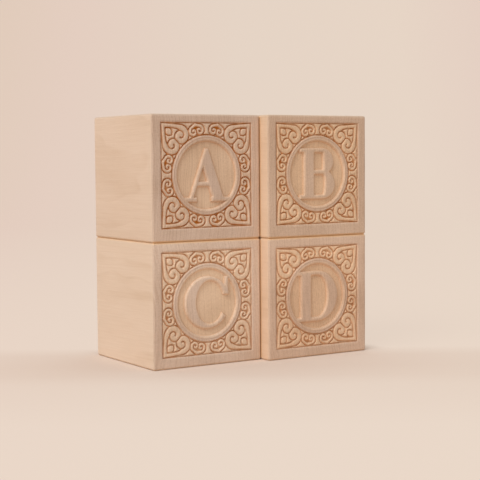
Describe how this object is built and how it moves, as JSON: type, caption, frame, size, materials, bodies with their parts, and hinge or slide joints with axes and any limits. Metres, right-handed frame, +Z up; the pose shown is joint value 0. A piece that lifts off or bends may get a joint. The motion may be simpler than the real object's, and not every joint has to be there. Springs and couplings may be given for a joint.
{
  "type": "alphabet block set",
  "caption": "Stack of pale wooden cube blocks, each with a carved front: heart scrolls and a ring round a raised capital letter. The blocks lift and slide apart.",
  "frame": {"origin": "on the table, under the centre of the stack's box", "axes": "+Z up, +X to the right along the row of blocks, carved fronts facing -Y"},
  "size_m": [0.0904, 0.0498, 0.09],
  "materials": {
    "wood_a": "bare sanded wood, matt",
    "wood_b": "bare sanded wood, matt",
    "wood_c": "bare sanded wood, matt",
    "wood_d": "bare sanded wood, matt"
  },
  "bodies": {
    "lower_left": {"block_c": "wood_c"},
    "lower_right": {"block_d": "wood_d"},
    "upper_left": {"block_a": "wood_a"},
    "upper_right": {"block_b": "wood_b"}
  },
  "joints": [
    {"name": "lower_right_pull", "type": "slide", "parent": "lower_left", "child": "lower_right", "axis": [1, 0, 0], "range_m": [0, 0.06]},
    {"name": "upper_left_lift", "type": "slide", "parent": "lower_left", "child": "upper_left", "axis": [0, 0, 1], "range_m": [0, 0.06]},
    {"name": "upper_right_lift", "type": "slide", "parent": "lower_right", "child": "upper_right", "axis": [0, 0, 1], "range_m": [0, 0.06]}
  ]
}
